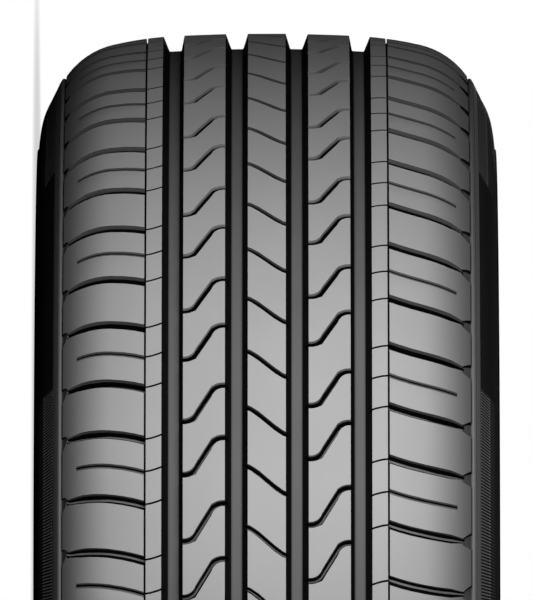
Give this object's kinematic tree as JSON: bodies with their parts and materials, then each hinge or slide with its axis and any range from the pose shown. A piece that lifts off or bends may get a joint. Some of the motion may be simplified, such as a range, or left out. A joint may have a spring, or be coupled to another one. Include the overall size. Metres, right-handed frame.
{
  "type": "car tyre",
  "caption": "Road tyre for a passenger car, with four main grooves, S-shaped rib grooves, curved shoulder grooves and two bead seats.",
  "frame": {"origin": "centre of the tyre, on its axle line, halfway between the two sidewalls", "axes": "+Z along the axle line, so the tyre lies on one sidewall"},
  "size_m": [0.6432, 0.6432, 0.235],
  "materials": {
    "tyre": "moulded rubber, satin on the tread blocks and matt in the grooves"
  },
  "bodies": {
    "root": {"tyre": "tyre"}
  },
  "joints": []
}
